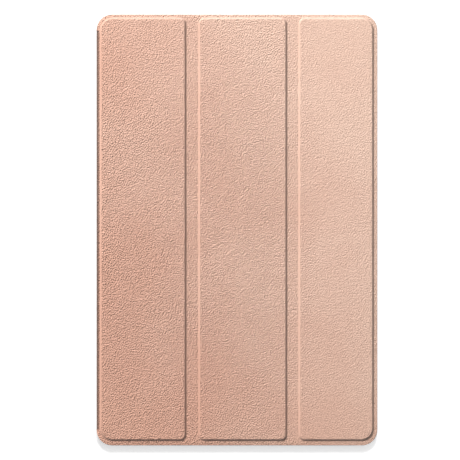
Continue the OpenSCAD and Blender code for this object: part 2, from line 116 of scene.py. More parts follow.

# ---- Camera, straight above ----

# Width of the picture at the height of the cover's flat border
FRAME_WIDTH = 274.3 * MM
CAMERA_OFFSET_X = -4.17 * MM
CAMERA_HEIGHT = 1.6


def make_camera():
    """A camera that looks straight down on the cover."""
    data = bpy.data.cameras.new("camera")
    data.sensor_width = 36
    data.lens = data.sensor_width * CAMERA_HEIGHT / FRAME_WIDTH
    data.clip_end = 50
    camera = bpy.data.objects.new("camera", data)
    camera.location = (CAMERA_OFFSET_X, 0, BORDER_TOP + CAMERA_HEIGHT)
    bpy.context.scene.collection.objects.link(camera)
    bpy.context.scene.camera = camera


# ---- Materials ----


class Nodes:
    """Short ways to add and link shader nodes."""

    def __init__(self, name):
        self.material = bpy.data.materials.new(name)
        self.material.use_nodes = True
        self.tree = self.material.node_tree
        self.shader = self.tree.nodes["Principled BSDF"]

    def add(self, kind, **settings):
        """A new node, with its inputs and its other settings set by name."""
        node = self.tree.nodes.new(kind)
        for key, value in settings.items():
            if key in node.inputs:
                node.inputs[key].default_value = value
            else:
                setattr(node, key, value)
        return node

    def link(self, a, b):
        self.tree.links.new(a, b)

    def set(self, **values):
        """Numbers and colours that are the same all over the surface."""
        for key, value in values.items():
            self.shader.inputs[key.replace("_", " ")].default_value = value

    def colour(self, value):
        self.link(value, self.shader.inputs["Base Color"])

    def roughness(self, value):
        self.link(value, self.shader.inputs["Roughness"])

    def place(self, source, scale=(1, 1, 1), turn=(0, 0, 0)):
        """Texture coordinates from a UV map or from the object, in metres, turned and times scale."""
        coordinates = self.add("ShaderNodeTexCoord")
        mapping = self.add("ShaderNodeMapping", Scale=scale, Rotation=turn)
        self.link(coordinates.outputs[source], mapping.inputs["Vector"])
        return mapping.outputs["Vector"]

    def noise(self, vector, scale, detail=3.0, roughness=0.5, distortion=0.0):
        node = self.add("ShaderNodeTexNoise", Scale=scale, Detail=detail, Roughness=roughness)
        node.inputs["Distortion"].default_value = distortion
        self.link(vector, node.inputs["Vector"])
        return node.outputs["Fac"]

    def split(self, vector):
        """The x and y of a vector."""
        node = self.add("ShaderNodeSeparateXYZ")
        self.link(vector, node.inputs["Vector"])
        return node.outputs["X"], node.outputs["Y"]

    def math(self, operation, *values):
        node = self.add("ShaderNodeMath", operation=operation)
        for socket, value in zip(node.inputs, values):
            if isinstance(value, (int, float)):
                socket.default_value = value
            else:
                self.link(value, socket)
        return node.outputs["Value"]

    def map_range(self, value, low, high, to_low, to_high):
        node = self.add("ShaderNodeMapRange")
        for name, number in (("From Min", low), ("From Max", high), ("To Min", to_low), ("To Max", to_high)):
            node.inputs[name].default_value = number
        self.link(value, node.inputs["Value"])
        return node.outputs["Result"]

    def within(self, value, middle, half):
        """1 where the value is less than half from the middle, and 0 elsewhere."""
        off = self.math("ABSOLUTE", self.math("SUBTRACT", value, middle))
        return self.math("LESS_THAN", off, half)

    def mix(self, factor, a, b, blend_type="MIX"):
        node = self.add("ShaderNodeMix", data_type="RGBA", blend_type=blend_type)
        for socket, value in ((node.inputs[0], factor), (node.inputs[6], a), (node.inputs[7], b)):
            if isinstance(value, bpy.types.NodeSocket):
                self.link(value, socket)
            elif isinstance(value, (int, float)):
                socket.default_value = value
            else:
                socket.default_value = (*value, 1)
        return node.outputs[2]

    def shaded(self, colour, brightness):
        """A colour times a brightness."""
        grey = self.add("ShaderNodeCombineColor")
        for channel in grey.inputs:
            self.link(brightness, channel)
        return self.mix(1.0, colour, grey.outputs["Color"], "MULTIPLY")

    def bump(self, height, distance, strength=1.0):
        node = self.add("ShaderNodeBump", Distance=distance)
        if isinstance(strength, bpy.types.NodeSocket):
            self.link(strength, node.inputs["Strength"])
        else:
            node.inputs["Strength"].default_value = strength
        self.link(height, node.inputs["Height"])
        self.link(node.outputs["Normal"], self.shader.inputs["Normal"])


# The leatherette's grain, in features to the metre, each turned off the cover's own axes
WARP_SCALE = 420
WARP_REACH = 1.2 * MM
PEBBLE_SCALE = 820
PEBBLE_RANDOMNESS = 0.8
PEBBLE_TURN = (0, 0, 0.53)
WRINKLE_SCALE = 1150
FINE_SCALE = 1800
WRINKLE_TURN = (0.62, 0.41, 0.53)
GRAIN_DEPTH = 0.5 * MM

# Its colour at the lower left and, with painted light, at the upper right,
# and how fast the painted light pales it across and along
DEEP_ROSE = (0.310, 0.172, 0.126)
PALE_ROSE = (0.368, 0.251, 0.197)
PAINTED_LIGHT_ACROSS = 5.0
PAINTED_LIGHT_ALONG = 1.8

# What painted shade takes off its brightness round the spine and where stretched,
# and what is taken off its grain where stretched
SPINE_PAINTED_SHADE = 0.78
BEVEL_PAINTED_SHADE = 0.12
STRETCHED_SMOOTHER = 0.85


def pebbles(n):
    """Domed pebbles with wandering edges, from 0 in the creases between them to 1 on top."""
    turned = n.place("UV", turn=PEBBLE_TURN)
    warp = n.add("ShaderNodeTexNoise", Scale=WARP_SCALE, Detail=1)
    n.link(turned, warp.inputs["Vector"])
    wandering = n.add("ShaderNodeVectorMath", operation="MULTIPLY_ADD")
    wandering.inputs[1].default_value = (WARP_REACH, WARP_REACH, 0)
    n.link(warp.outputs["Color"], wandering.inputs[0])
    n.link(turned, wandering.inputs[2])
    cells = n.add("ShaderNodeTexVoronoi", feature="DISTANCE_TO_EDGE", voronoi_dimensions="2D")
    cells.inputs["Scale"].default_value = PEBBLE_SCALE
    cells.inputs["Randomness"].default_value = PEBBLE_RANDOMNESS
    n.link(wandering.outputs["Vector"], cells.inputs["Vector"])
    return n.map_range(cells.outputs["Distance"], 0.0, 0.34, 0.0, 1.0)


def leather_grain(n):
    """The height of the wrinkled pebbles, and that of the fine wrinkles on them."""
    oblique = n.place("UV", turn=WRINKLE_TURN)
    wrinkle = n.map_range(n.noise(oblique, WRINKLE_SCALE, detail=0), 0.30, 0.70, 0.0, 1.0)
    fine = n.map_range(n.noise(oblique, FINE_SCALE, detail=0), 0.30, 0.70, 0.0, 1.0)
    grain = n.math("ADD", n.math("MULTIPLY", pebbles(n), 0.40), n.math("MULTIPLY", wrinkle, 0.55))
    return grain, fine


def tone_and_painted_light(n, u, v):
    """Rose gold with painted light that pales it towards the upper right, and faint clouds of its own tone."""
    cloud = n.map_range(n.noise(n.place("UV"), 14, detail=3), 0.35, 0.65, -0.15, 0.15)
    # Painted light: paler towards the upper right, where the light falls
    across = n.math("MULTIPLY_ADD", u, PAINTED_LIGHT_ACROSS, 0.5)
    painted_light_and_cloud = n.math("ADD", n.math("MULTIPLY_ADD", v, PAINTED_LIGHT_ALONG, across), cloud)
    return n.mix(painted_light_and_cloud, DEEP_ROSE, PALE_ROSE)


def spine_shade_mask(n, u, v):
    """Where painted shade darkens the leatherette: 1 where it rolls round the spine, and 0 over the rest."""
    round_spine = n.math("SUBTRACT", HINGE_X, u)
    onset = n.map_range(round_spine, -0.2 * MM, 0.9 * MM, 0.0, 1.0)
    finish = n.map_range(round_spine, SPINE_RUN - 2 * MM, SPINE_RUN, 1.0, 0.0)
    on_spine = n.map_range(n.math("ABSOLUTE", v), SPINE_HALF, SPINE_HALF + MM, 1.0, 0.0)
    return n.math("MULTIPLY", n.math("MULTIPLY", onset, finish), on_spine)


def grain_strength(n, u, v, unstretched):
    """How much of the grain's depth is left: less where stretched, at the free side and at the ends."""
    sideways = n.map_range(u, 15 * MM, 50 * MM, 1.0, 0.5)
    endways = n.map_range(n.math("ABSOLUTE", v), 50 * MM, 120 * MM, 1.0, 0.7)
    return n.math("MULTIPLY", unstretched, n.math("MULTIPLY", sideways, endways))


def leatherette():
    """Rose-gold coated leatherette: wrinkled pebbles about a millimetre across, with a satin gloss.
    It is smoother and glossier where it is stretched over a board's edge, and painted shade darkens
    it there. The UV map runs on round the spine, where painted shade darkens it."""
    n = Nodes("leatherette")
    u, v = n.split(n.place("UV"))
    grain, fine = leather_grain(n)
    stretched_and_shaded = n.add("ShaderNodeAttribute", attribute_name="stretched_and_shaded").outputs["Fac"]
    spine_shade = spine_shade_mask(n, u, v)
    speck = n.math("MULTIPLY_ADD", fine, 0.6, n.math("MULTIPLY", grain, 0.6))
    # Darker in the grain's creases and paler on its tops: partly the grain's own tone, partly painted shade
    mottle = n.map_range(speck, 0.2, 0.9, -0.14, 0.10)
    unstretched = n.math("MULTIPLY_ADD", stretched_and_shaded, -STRETCHED_SMOOTHER, 1.0)
    grain_shade_and_tone = n.math("MULTIPLY_ADD", mottle, unstretched, 1.0)
    # Painted shade: darker where the leather rolls round the spine; the same mask makes it rougher there
    after_spine_shade = n.math("MULTIPLY_ADD", spine_shade, -SPINE_PAINTED_SHADE, 1.0)
    # Painted shade: darker over the boards' edges, deepening their shaded sides and dimming their highlights
    after_bevel_shade = n.math("MULTIPLY_ADD", stretched_and_shaded, -BEVEL_PAINTED_SHADE, 1.0)
    brightness = n.math("MULTIPLY", grain_shade_and_tone, n.math("MULTIPLY", after_spine_shade, after_bevel_shade))
    n.colour(n.shaded(tone_and_painted_light(n, u, v), brightness))
    satin = n.math("MULTIPLY_ADD", stretched_and_shaded, -0.12, n.map_range(grain, 0.1, 0.9, 0.50, 0.40))
    n.roughness(n.math("MULTIPLY_ADD", spine_shade, 0.35, satin))
    n.link(n.math("MULTIPLY_ADD", stretched_and_shaded, 0.8, 0.2), n.shader.inputs["Coat Weight"])
    n.set(Coat_Roughness=0.25)
    height = n.math("ADD", grain, n.math("MULTIPLY", fine, 0.30))
    n.bump(height, GRAIN_DEPTH, grain_strength(n, u, v, unstretched))
    return n.material


def cloth_nap(name, colour):
    """Brushed microfibre: a short directionless nap with faint stroke marks."""
    n = Nodes(name)
    uv = n.place("UV")
    nap = n.noise(uv, 5200, detail=4, roughness=0.7)
    stroke = n.noise(n.place("UV", (60, 16, 1)), 1.0, detail=4, roughness=0.6)
    light = tuple(min(1.0, c * 1.35) for c in colour)
    dark = tuple(c * 0.72 for c in colour)
    mixed = n.mix(n.map_range(stroke, 0.3, 0.7, 0.0, 1.0), dark, light)
    base = n.mix(n.map_range(nap, 0.3, 0.7, 0.0, 0.5), mixed, light)
    n.colour(base)
    n.set(Roughness=0.95, Sheen_Weight=0.35, Sheen_Roughness=0.5)
    n.bump(nap, 0.12 * MM, 0.6)
    return n.material


def moulded(name, colour, rough=0.5):
    """Moulded plastic with a fine spark-eroded grain."""
    n = Nodes(name)
    at = n.place("Object")
    fine = n.noise(at, 4200, detail=3, roughness=0.6)
    cloud = n.noise(at, 60, detail=2)
    light = tuple(c * 1.25 + 0.002 for c in colour)
    n.colour(n.mix(n.map_range(cloud, 0.3, 0.7, 0.0, 1.0), colour, light))
    n.roughness(n.map_range(fine, 0.3, 0.7, rough - 0.06, rough + 0.08))
    n.bump(fine, 0.03 * MM, 0.7)
    return n.material


def metal(name, colour, rough=0.34, brushed=None, grain=0.012 * MM):
    """Metal: bead blasted, or brushed along the axis whose scale is small."""
    n = Nodes(name)
    blasted = (3800, 3800, 3800)
    fine = n.noise(n.place("Object", brushed or blasted), 1, detail=3, roughness=0.6)
    cloud = n.noise(n.place("Object"), 40, detail=2)
    dark = tuple(c * 0.9 for c in colour)
    n.colour(n.mix(n.map_range(cloud, 0.3, 0.7, 0.0, 1.0), dark, colour))
    n.roughness(n.map_range(fine, 0.25, 0.75, rough - 0.07, rough + 0.09))
    n.set(Metallic=1.0)
    n.bump(fine, grain, 0.6)
    return n.material


def circuit_board(name):
    """Green solder mask over copper tracks, with pads."""
    n = Nodes(name)
    at = n.place("Object")
    tracks = n.add("ShaderNodeTexVoronoi", feature="F1", distance="MANHATTAN", Scale=420)
    n.link(at, tracks.inputs["Vector"])
    bands = n.math("FRACT", n.math("MULTIPLY", tracks.outputs["Distance"], 3.0))
    line = n.map_range(bands, 0.42, 0.5, 0.0, 1.0)
    pads = n.add("ShaderNodeTexVoronoi", feature="F1", Scale=900)
    n.link(at, pads.inputs["Vector"])
    pad = n.math("LESS_THAN", pads.outputs["Distance"], 0.16)
    mask = n.mix(line, (0.008, 0.060, 0.036), (0.016, 0.105, 0.060))
    n.colour(n.mix(pad, mask, (0.72, 0.50, 0.20)))
    n.roughness(n.map_range(pad, 0, 1, 0.42, 0.28))
    n.bump(line, 0.02 * MM, 0.6)
    return n.material


def foil_pouch(name):
    """The wrinkled dark foil of a pouch cell."""
    n = Nodes(name)
    at = n.place("Object")
    wrinkle = n.noise(at, 90, detail=5, roughness=0.6, distortion=1.4)
    fine = n.noise(at, 2400, detail=2)
    n.colour(n.mix(wrinkle, (0.020, 0.020, 0.022), (0.060, 0.060, 0.064)))
    n.roughness(n.map_range(fine, 0.3, 0.7, 0.3, 0.45))
    n.set(Metallic=0.4)
    n.bump(wrinkle, 0.2 * MM, 0.5)
    return n.material


def film(name, low, high, rough=0.4):
    """Flexible film or foam tape, slightly uneven."""
    n = Nodes(name)
    at = n.place("Object")
    mottle = n.noise(at, 320, detail=4)
    n.colour(n.mix(mottle, low, high))
    n.roughness(n.map_range(mottle, 0.3, 0.7, rough - 0.05, rough + 0.08))
    n.bump(mottle, 0.03 * MM, 0.5)
    return n.material


def fibre_board(name):
    """Pressed fibre board."""
    n = Nodes(name)
    fibre = n.noise(n.place("Object", (900, 260, 900)), 1.0, detail=5, roughness=0.7)
    n.colour(n.mix(fibre, (0.075, 0.070, 0.066), (0.16, 0.15, 0.145)))
    n.roughness(n.map_range(fibre, 0.3, 0.7, 0.8, 0.95))
    n.bump(fibre, 0.04 * MM, 0.5)
    return n.material


ACTIVE_WIDTH = 148.1 * MM
ACTIVE_LENGTH = 236.9 * MM
EYE_WINDOW_R = 1.9 * MM
EYE_R = 1.0 * MM
BLACK_BORDER = (0.0035, 0.0035, 0.0040)
EYE_WINDOW = (0.020, 0.021, 0.030)
EYE = (0.002, 0.002, 0.008)


def front_glass(name):
    """Polished glass over a black border, with the dark display inside it and the front camera's window."""
    n = Nodes(name)
    x, y = n.split(n.place("Object"))
    middle = middle_of("display_panel")
    inside_x = n.within(x, middle.x, ACTIVE_WIDTH / 2)
    inside_y = n.within(y, middle.y, ACTIVE_LENGTH / 2)
    smear = n.noise(n.place("Object", (9, 6, 9)), 1.0, detail=4, distortion=1.0)
    pixels = n.noise(n.place("Object"), 9000, detail=1)
    panel = n.mix(pixels, (0.010, 0.011, 0.014), (0.017, 0.018, 0.022))
    face = n.mix(n.math("MULTIPLY", inside_x, inside_y), BLACK_BORDER, panel)
    eye = middle_of("front_camera")
    aside = n.math("POWER", n.math("SUBTRACT", x, eye.x), 2.0)
    along = n.math("POWER", n.math("SUBTRACT", y, eye.y), 2.0)
    away = n.math("SQRT", n.math("ADD", aside, along))
    window = n.mix(n.math("LESS_THAN", away, EYE_WINDOW_R), face, EYE_WINDOW)
    colour = n.mix(n.math("LESS_THAN", away, EYE_R), window, EYE)
    n.colour(colour)
    n.roughness(n.map_range(smear, 0.35, 0.75, 0.03, 0.10))
    n.set(IOR=1.5)
    return n.material


def lens_glass(name):
    """Coated lens glass with a faint violet bloom."""
    n = Nodes(name)
    at = n.place("Object")
    bloom = n.noise(at, 140, detail=2)
    n.colour(n.mix(bloom, (0.006, 0.008, 0.020), (0.022, 0.010, 0.034)))
    n.roughness(n.map_range(bloom, 0.3, 0.7, 0.02, 0.06))
    n.set(IOR=1.6)
    return n.material


def sound_mesh(name):
    """Woven acoustic mesh."""
    n = Nodes(name)
    weave = n.add("ShaderNodeTexWave", wave_type="BANDS", bands_direction="DIAGONAL", Scale=900)
    n.link(n.place("Object"), weave.inputs["Vector"])
    threads = n.mix(weave.outputs["Fac"], (0.006, 0.006, 0.007), (0.05, 0.05, 0.055))
    n.colour(threads)
    n.set(Roughness=0.6)
    n.bump(weave.outputs["Fac"], 0.04 * MM, 0.8)
    return n.material


LEATHER = leatherette()
LINING = cloth_nap("microfibre_lining", (0.060, 0.057, 0.056))
SHELL_PLASTIC = moulded("shell_plastic", (0.016, 0.016, 0.018))
DARK_PLASTIC = moulded("dark_plastic", (0.012, 0.012, 0.013), rough=0.42)
BOARD = fibre_board("fibre_board")
HOUSING = metal("anodised_housing", (0.42, 0.43, 0.45))
FRAME_METAL = metal("cast_frame", (0.36, 0.37, 0.39), rough=0.45, grain=0.03 * MM)
STEEL = metal("stamped_steel", (0.62, 0.62, 0.62), rough=0.26, brushed=(220, 4200, 4200))
MAGNET = metal("plated_magnet", (0.66, 0.65, 0.62), rough=0.2)
GOLD = metal("gold_contact", (0.80, 0.56, 0.22), rough=0.25)
GLASS = front_glass("front_glass")
LENS = lens_glass("coated_lens")
DISPLAY = film("display_stack", (0.010, 0.010, 0.012), (0.018, 0.018, 0.021), rough=0.2)
LIGHT_GUIDE = film("light_guide", (0.70, 0.69, 0.65), (0.80, 0.79, 0.76), rough=0.25)
RIBBON = film("polyimide_ribbon", (0.30, 0.12, 0.022), (0.48, 0.21, 0.045), rough=0.35)
TAPE = film("foam_tape", (0.62, 0.62, 0.61), (0.74, 0.74, 0.73), rough=0.8)
GASKET = film("adhesive_gasket", (0.008, 0.008, 0.008), (0.018, 0.018, 0.018), rough=0.7)
CELL = foil_pouch("cell_foil")
GREEN_BOARD = circuit_board("solder_mask")
MESH = sound_mesh("acoustic_mesh")

SLOT_MATERIALS = {
    "leatherette": LEATHER,
    "lining": LINING,
    "board": BOARD,
    "shell_plastic": SHELL_PLASTIC,
    "dark_plastic": DARK_PLASTIC,
    "housing": HOUSING,
    "frame_metal": FRAME_METAL,
    "steel": STEEL,
    "magnet": MAGNET,
    "contact_gold": GOLD,
    "display": DISPLAY,
    "front_glass": GLASS,
    "lens": LENS,
    "light_guide": LIGHT_GUIDE,
    "circuit_board": GREEN_BOARD,
    "ribbon": RIBBON,
    "cell": CELL,
    "adhesive": TAPE,
    "gasket": GASKET,
}
OWN_MATERIALS = {"speaker_meshes": MESH}

# Edges of CAD nodes that catch the light get a small rounding, in millimetres
ROUNDED = {
    "back_shell": 0.35,
    "rear_housing": 0.25,
    "cover_glass": 0.2,
    "power_button": 0.22,
    "volume_rocker": 0.22,
    "card_tray": 0.1,
    "rear_camera_ring": 0.12,
    "usb_c_port": 0.06,
    "battery_left": 0.5,
    "battery_right": 0.5,
}


def dress_cad_nodes():
    """Gives each CAD node its material, and rounds the edges of some."""
    slots = {row["node"]: row["material_slot"] for row in frame["record"]["subparts"]}
    for name, node in NODES.items():
        node.data.materials.clear()
        node.data.materials.append(OWN_MATERIALS.get(name) or SLOT_MATERIALS[slots[name]])
        if name in ROUNDED:
            bevel = node.modifiers.new("rounded_edges", "BEVEL")
            bevel.width = ROUNDED[name] * MM
            bevel.segments = 3
            bevel.limit_method = "ANGLE"
            bevel.angle_limit = math.radians(50)
            bevel.harden_normals = True
            node.data.shade_smooth()


# ---- Formed sheets: skins, linings and strips ----


def rect_distance(points, rect, radii):
    """Distance inwards from a rectangle with four corner radii, negative outside it."""
    x0, y0, x1, y1 = rect
    centre = np.array([(x0 + x1) / 2, (y0 + y1) / 2])
    half = np.array([(x1 - x0) / 2, (y1 - y0) / 2])
    p = points - centre
    left_bottom, right_bottom, right_top, left_top = radii
    bottom = np.where(p[:, 0] < 0, left_bottom, right_bottom)
    top = np.where(p[:, 0] < 0, left_top, right_top)
    r = np.where(p[:, 1] < 0, bottom, top)
    q = np.abs(p) - half + r[:, None]
    outside = np.linalg.norm(np.maximum(q, 0), axis=1)
    return -(outside + np.minimum(q.max(axis=1), 0) - r)


SHARPEST_R = 0.02 * MM


def rect_loop(rect, radii, inset, spacing, corner_steps=8):
    """Points round a rounded rectangle drawn in by inset, counter-clockwise from its lower left corner."""
    x0, y0, x1, y1 = rect
    corners = [(x0, y0, 180), (x1, y0, 270), (x1, y1, 0), (x0, y1, 90)]
    loop = []
    for (x, y, start), radius in zip(corners, radii):
        inward = (1 if x == x0 else -1, 1 if y == y0 else -1)
        centre = (x + inward[0] * radius, y + inward[1] * radius)
        reach = max(radius - inset, SHARPEST_R)
        for k in range(corner_steps + 1):
            angle = math.radians(start + 90 * k / corner_steps)
            loop.append((centre[0] + reach * math.cos(angle), centre[1] + reach * math.sin(angle)))
    return divided(loop + [loop[0]], spacing)[:-1]


def divided(path, spacing):
    """The path with points added so that none are more than spacing apart."""
    out = [path[0]]
    for a, b in zip(path, path[1:]):
        steps = max(1, math.ceil(math.dist(a, b) / spacing))
        run = (b[0] - a[0], b[1] - a[1])
        out += [(a[0] + run[0] * k / steps, a[1] + run[1] * k / steps) for k in range(1, steps + 1)]
    return out


def edge_drop(depth):
    """How far a rounded edge lies below the face, at this depth in from the rim."""
    d = np.clip(depth, 0, EDGE_R)
    return EDGE_R - np.sqrt(np.maximum(EDGE_R**2 - (EDGE_R - d) ** 2, 0))


# Rings of points round a sheet's edge and across a board's edge, closest together where they bend
CREASE = 0.16
EDGE_SHARES = (0.06, 0.2, 0.42, 0.7, 1.0)
BEVEL_SHARES = (0, 0.04, 0.08, 0.12, 0.16, 0.33, 0.5, 0.67, 0.84, 0.88, 0.92, 0.96, 1)
EDGE_RINGS = [EDGE_R * share for share in EDGE_SHARES]
BEVEL_RINGS = [BEVEL * share for share in BEVEL_SHARES]


def swell(share):
    """The rise of the leather over a board's edge, from 0 at its foot to 1 on top: an even slope,
    with a short bend of CREASE at each end."""
    s = np.clip(share, 0, 1)
    slope = 1 / (1 - CREASE)
    foot = slope * s**2 / (2 * CREASE)
    head = 1 - slope * (1 - s) ** 2 / (2 * CREASE)
    return np.where(s < CREASE, foot, np.where(s > 1 - CREASE, head, slope * (s - CREASE / 2)))


def make_object(name, points, faces, material, uv=None, stretched_and_shaded=None):
    """A smooth piece. Its last argument says at each point how far its leather is pulled smooth, from 0 to 1;
    the leatherette also darkens it by as much with painted shade.
    """
    mesh = bpy.data.meshes.new(name)
    mesh.from_pydata([tuple(p) for p in points], [], faces)
    mesh.validate()
    mesh.update()
    layer = mesh.uv_layers.new(name="UVMap")
    flat = np.array([uv(p) if uv else (p[0], p[1]) for p in points])
    index = np.zeros(len(mesh.loops), int)
    mesh.loops.foreach_get("vertex_index", index)
    layer.data.foreach_set("uv", flat[index].astype(np.float32).ravel())
    if stretched_and_shaded is not None:
        pulled = mesh.attributes.new("stretched_and_shaded", "FLOAT", "POINT")
        pulled.data.foreach_set("value", np.asarray(stretched_and_shaded, np.float32))
    mesh.materials.append(material)
    mesh.shade_smooth()
    mesh.set_sharp_from_angle(angle=math.radians(55))
    piece = bpy.data.objects.new(name, mesh)
    bpy.context.scene.collection.objects.link(piece)
    return piece


ALL_TRIANGLES = 0
TOLERANCE = 1e-5


def flat_mesh(loops, paths, grid, keep):
    """Points and triangles over a plan, with loops and paths drawn into them. keep says what lies in it."""
    flat, edges = [], []
    for line, closed in [(loop, True) for loop in loops] + [(path, False) for path in paths]:
        first = len(flat)
        flat += line
        last = len(flat) - 1
        edges += [(i, i + 1) for i in range(first, last)]
        if closed:
            edges.append((last, first))
    flat += grid
    scaled = [Vector((x / MM, y / MM)) for x, y in flat]
    plan, _, faces, *_ = delaunay_2d_cdt(scaled, edges, [], ALL_TRIANGLES, TOLERANCE)
    at = np.array([(v.x * MM, v.y * MM) for v in plan])
    middles = np.array([at[list(face)].mean(axis=0) for face in faces])
    faces = [tuple(face) for face, inside in zip(faces, keep(middles)) if inside]
    used = sorted({i for face in faces for i in face})
    number = {old: new for new, old in enumerate(used)}
    return at[used], [tuple(number[i] for i in face) for face in faces]


def border_of(faces):
    """The edges that only one face has, each in that face's direction."""
    border = {}
    for face in faces:
        for a, b in zip(face, face[1:] + face[:1]):
            if (b, a) in border:
                del border[(b, a)]
            else:
                border[(a, b)] = True
    return list(border)


def formed_sheet(name, loops, paths, keep, upper, lower, material, grid, uv=None, stretched_and_shaded=None):
    """A closed sheet over a plan, whose two faces' heights are given by upper and lower."""
    at, faces = flat_mesh(loops, paths, grid, keep)
    count = len(at)
    high = np.column_stack([at, upper(at)])
    low = np.column_stack([at, lower(at)])
    under = [tuple(i + count for i in reversed(face)) for face in faces]
    sides = [(b, a, a + count, b + count) for a, b in border_of(faces)]
    pulled = None if stretched_and_shaded is None else np.tile(stretched_and_shaded(at), 2)
    return make_object(name, np.vstack([high, low]), faces + under + sides, material, uv, pulled)


def grid_points(rect, step, inset):
    """An even grid inside a rectangle, for the flat middle of a sheet."""
    x0, y0, x1, y1 = rect
    columns = max(2, round((x1 - x0 - 2 * inset) / step))
    rows = max(2, round((y1 - y0 - 2 * inset) / step))
    xs = np.linspace(x0 + inset, x1 - inset, columns + 1)
    ys = np.linspace(y0 + inset, y1 - inset, rows + 1)
    return [(float(x), float(y)) for x in xs for y in ys]


COVER_RECT = (LEFT, -TOP, RIGHT, TOP)
COVER_RADII = (CORNER_R,) * 4
# Spacing of the points over a sheet's flat stretches
STEP = 4 * MM


def clipped(loop, x0, x1):
    """Runs of a closed loop that lie between two lines across the cover, as open paths ending on them."""
    runs, run = [], []
    closed = loop + [loop[0]]
    for a, b in zip(closed, closed[1:]):
        inside_a, inside_b = x0 <= a[0] <= x1, x0 <= b[0] <= x1
        if inside_a and not run:
            run = [a]
        if inside_a and inside_b:
            run.append(b)
        elif inside_a != inside_b:
            edge = x0 if min(a[0], b[0]) < x0 else x1
            share = (edge - a[0]) / (b[0] - a[0])
            cut = (edge, a[1] + share * (b[1] - a[1]))
            if inside_a:
                run.append(cut)
                runs.append(run)
                run = []
            else:
                run = [cut, b]
    if run:
        runs.append(run)
    return [r for r in runs if len(r) > 1]


def cover_sheet(
    name, x0, x1, upper, lower, material,
    loops=(), rings=True, rim=0.0, spine_cut=True, grid=(), stretched_and_shaded=None,
):
    """A piece of the cover between two lines across it, with the outer rim rounded."""
    rect = (LEFT + rim, -TOP + rim, RIGHT - rim, TOP - rim)
    radii = tuple(r - rim for r in COVER_RADII)
    insets = [0.0] + (EDGE_RINGS if rings else [])
    paths = [run for inset in insets for run in clipped(rect_loop(rect, radii, inset, STEP), x0, x1)]
    for x in (x0, x1):
        if rect[0] < x < rect[2]:
            paths.append(divided([(x, rect[1]), (x, rect[3])], STEP))
    cut = spine_cut and x0 <= LEFT + rim
    if cut:
        notch = [(LEFT, -SPINE_HALF), (HINGE_X, -SPINE_HALF), (HINGE_X, SPINE_HALF), (LEFT, SPINE_HALF)]
        paths.append(divided(notch, STEP))

    def keep(points):
        inside = rect_distance(points, rect, radii) > 0
        inside &= (points[:, 0] > x0) & (points[:, 0] < x1)
        if cut:
            inside &= ~((points[:, 0] < HINGE_X) & (np.abs(points[:, 1]) < SPINE_HALF))
        return inside

    return formed_sheet(
        name, list(loops), paths, keep, upper, lower, material, list(grid), stretched_and_shaded=stretched_and_shaded
    )


def rim_drop(points):
    return edge_drop(rect_distance(points, COVER_RECT, COVER_RADII))


def panel_skin(i):
    """The leatherette over panel i, raised over its board, with its part of the cover's border."""
    rect, radii = FEET[i]
    x0 = LEFT if i == 0 else STRIPS[i - 1][1]
    x1 = RIGHT if i == 2 else STRIPS[i][0]

    def raised(points):
        return RISE * swell(rect_distance(points, rect, radii) / BEVEL)

    # 1 across the middle of each board's edge, where the leather is smoother, glossier and darkened by painted
    # shade
    def stretched_and_shaded(points):
        from_middle = np.abs(rect_distance(points, rect, radii) / BEVEL - 0.5)
        return np.clip((0.5 - from_middle) / 0.1, 0, 1)

    loops = [rect_loop(rect, radii, inset, STEP) for inset in BEVEL_RINGS]
    piece = cover_sheet(
        f"leather_panel_{i + 1}", x0, x1,
        lambda p: BORDER_TOP + raised(p) - rim_drop(p),
        lambda p: BOARD_Z + raised(p),
        LEATHER, loops=loops, grid=grid_points(rect, STEP, BEVEL + 0.3 * STEP), stretched_and_shaded=stretched_and_shaded,
    )
    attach(piece, f"panel_{i + 1}")
    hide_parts(f"panel_{i + 1}_skin")


# How far in from the cover's rim the lining ends
LINING_RIM = 0.9 * MM
LINING_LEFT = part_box("panel_1_lining")[0].x


def panel_lining(i):
    """The flat microfibre inside panel i."""
    x0 = LINING_LEFT if i == 0 else STRIPS[i - 1][1]
    x1 = RIGHT if i == 2 else STRIPS[i][0]
    rect = (x0, -TOP + LINING_RIM, min(x1, RIGHT - LINING_RIM), TOP - LINING_RIM)
    piece = cover_sheet(
        f"lining_panel_{i + 1}", x0, x1,
        lambda p: np.full(len(p), BOARD_Z), lambda p: np.full(len(p), LINING_Z),
        LINING, rings=False, rim=LINING_RIM, spine_cut=False, grid=grid_points(rect, STEP, 0.6 * STEP),
    )
    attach(piece, f"panel_{i + 1}")
    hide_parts(f"panel_{i + 1}_lining")


def fold_strip(i):
    """The leather and the lining that lie across a fold line, between its panels."""
    x0, x1 = STRIPS[i]
    xs = np.linspace(x0, x1, 17)[1:-1]
    layers = [
        ("leather", LEATHER, "leatherette", 0.0, BOARD_Z, lambda p: BORDER_TOP - rim_drop(p)),
        ("lining", LINING, "lining", LINING_RIM, LINING_Z, lambda p: np.full(len(p), BOARD_Z)),
    ]
    for label, material, slot, rim, low, upper in layers:
        ys = np.arange(-TOP + rim + STEP, TOP - rim - 0.5 * STEP, STEP)
        piece = cover_sheet(
            f"{label}_fold_{i + 1}", x0, x1, upper, lambda p, low=low: np.full(len(p), low),
            material, rings=label == "leather", rim=rim, spine_cut=False,
            grid=[(float(x), float(y)) for x in xs for y in ys],
        )
        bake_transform(piece)


# ---- Spine: a swept section along Y ----


